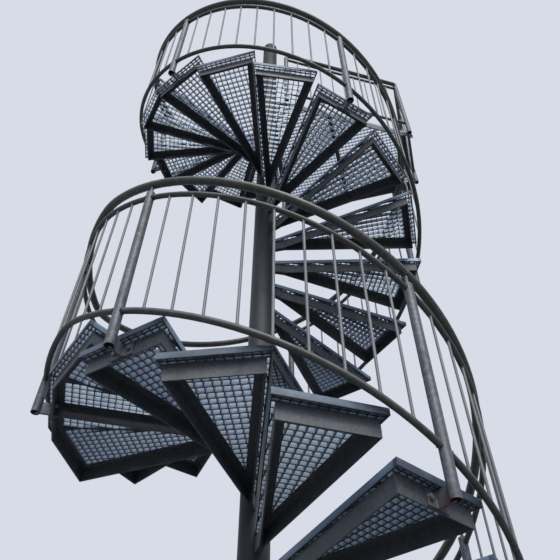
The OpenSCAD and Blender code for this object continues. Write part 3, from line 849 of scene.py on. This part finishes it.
guard("lower_guard", [stair_panel(a, b) for a, b in spans(first_slot, before_landing)], "lower_guard")
guard("landing_guard", [stair_panel(a, b) for a, b in spans(before_landing, after_landing)], "landing_guard")
guard("upper_guard", [stair_panel(a, b) for a, b in spans(after_landing, last_slot)], "upper_guard")
guard("platform_guard", [straight_panel(inner_at, corner_at), straight_panel(corner_at, right_end_at),
                         straight_panel(last_stair, left_end_at)], "platform_guard")


# Wall plates
# Two thick steel plates welded to the platform's frame, galvanised, and bolted to the wall with M16
# anchors. The nuts and washers stand on the side of the stair.

wall_bolt_half = 0.075
wall_plate_half = 0.110
plate_z = platform_z + (frame_low + frame_high) / 2
finish_nodes(base_zinc, "wall_plates")
plate_xs = (left_x + wall_plate_half, right_x - wall_plate_half)
wall_places = [[x + i * wall_bolt_half, wall_face_y, plate_z + j * wall_bolt_half]
               for x in plate_xs for i in (-1, 1) for j in (-1, 1)]
wall_washer_t = 0.003
wall_washer = washer(across=0.030, thick=wall_washer_t)
wall_nut = lifted(nut(flats=0.024, height=0.010), wall_washer_t)
wall_thread = thread(diameter=0.016, low=0.012, high=0.024, pitch=0.002)
towards_stair = [[0.0, -1.0, 0.0]] * len(wall_places)
wall_spins = np.arange(len(wall_places)) * 0.5
made_piece("wall_bolts", [
    set_at(wall_washer, wall_places, towards_stair), set_at(wall_nut, wall_places, towards_stair, wall_spins),
    set_at(wall_thread, wall_places, towards_stair)], bolt_zinc)


# Floor, light and camera
# A pale floor under the stair, a pale background, soft light from above and in front, and the camera of the
# photograph, which stands close to the stair and looks up.

def seen_or_mirrored(sheet):
    """1 for what the camera sees, straight, in gloss or through glass, and 0 for what lights other faces."""
    straight, in_gloss, through_glass = (sheet.node("ShaderNodeLightPath", output=k) for k in (0, 3, 6))
    return (straight + in_gloss + through_glass).above(0.0, 1.0)


floor_half = 40.0
floor_pale, floor_lit = (0.72, 0.73, 0.75), (0.10, 0.105, 0.11)
floor_finish = bpy.data.materials.new("floor")
floor_finish.use_nodes = True
floor_finish.node_tree.nodes.clear()
sheet = Shade(floor_finish.node_tree)
seen = seen_or_mirrored(sheet)
matt = sheet.node("ShaderNodeBsdfPrincipled", None,
                  {"Base Color": seen.blend(floor_lit, floor_pale), "Roughness": 0.9})
sheet.node("ShaderNodeOutputMaterial", None, {"Surface": matt})

floor_mesh = bpy.data.meshes.new("floor")
floor_mesh.from_pydata([(-floor_half, -floor_half, 0), (floor_half, -floor_half, 0),
                        (floor_half, floor_half, 0), (-floor_half, floor_half, 0)], [], [(0, 1, 2, 3)])
floor_mesh.materials.append(floor_finish)
floor = bpy.data.objects.new("floor", floor_mesh)
bpy.context.scene.collection.objects.link(floor)

background = (0.68, 0.715, 0.80)
skylight = (0.31, 0.385, 0.52)
world = bpy.data.worlds.new("studio")
world.use_nodes = True
world.node_tree.nodes.clear()
sheet = Shade(world.node_tree)
seen = seen_or_mirrored(sheet)
glow = sheet.node("ShaderNodeBackground", None, {"Color": seen.blend(skylight, background), "Strength": 1.0})
sheet.node("ShaderNodeOutputWorld", None, {"Surface": glow})
bpy.context.scene.world = world


def soft_light(name, strength, azimuth_deg, elevation_deg, spread_deg, colour):
    """A distant soft light from a direction, with the strength that lights a surface facing it."""
    lamp = bpy.data.lights.new(name, "SUN")
    lamp.energy = strength
    lamp.angle = np.radians(spread_deg)
    lamp.color = colour
    light = bpy.data.objects.new(name, lamp)
    a, e = np.radians([azimuth_deg, elevation_deg])
    towards = Vector((np.cos(e) * np.cos(a), np.cos(e) * np.sin(a), np.sin(e)))
    light.rotation_euler = towards.to_track_quat("Z", "Y").to_euler()
    bpy.context.scene.collection.objects.link(light)


soft_light("key", strength=1.2, azimuth_deg=282.0, elevation_deg=42.0, spread_deg=45.0,
           colour=(1.0, 0.985, 0.95))
soft_light("high", strength=1.7, azimuth_deg=302.0, elevation_deg=50.0, spread_deg=20.0,
           colour=(1.0, 0.965, 0.90))

camera_place = (0.7757, -2.4973, 1.6807)
camera_yaw, camera_pitch, camera_roll = 14.868, 48.64, 0.095
focal_length, film_width = 40.468, 36.0
yaw, pitch, roll = np.radians([camera_yaw, camera_pitch, camera_roll])
forward = np.array([-np.sin(yaw) * np.cos(pitch), np.cos(yaw) * np.cos(pitch), np.sin(pitch)])
right = np.array([np.cos(yaw), np.sin(yaw), 0.0])
upward = np.cross(right, forward)
right, upward = right * np.cos(roll) + upward * np.sin(roll), upward * np.cos(roll) - right * np.sin(roll)
lens = bpy.data.cameras.new("camera")
lens.lens = focal_length
lens.sensor_width = film_width
lens.clip_start = 0.05
camera = bpy.data.objects.new("camera", lens)
camera.matrix_world = Matrix(np.column_stack([right, upward, -forward]).tolist()).to_4x4()
camera.location = camera_place
bpy.context.scene.collection.objects.link(camera)
bpy.context.scene.camera = camera

bpy.context.scene.view_settings.view_transform = "Standard"
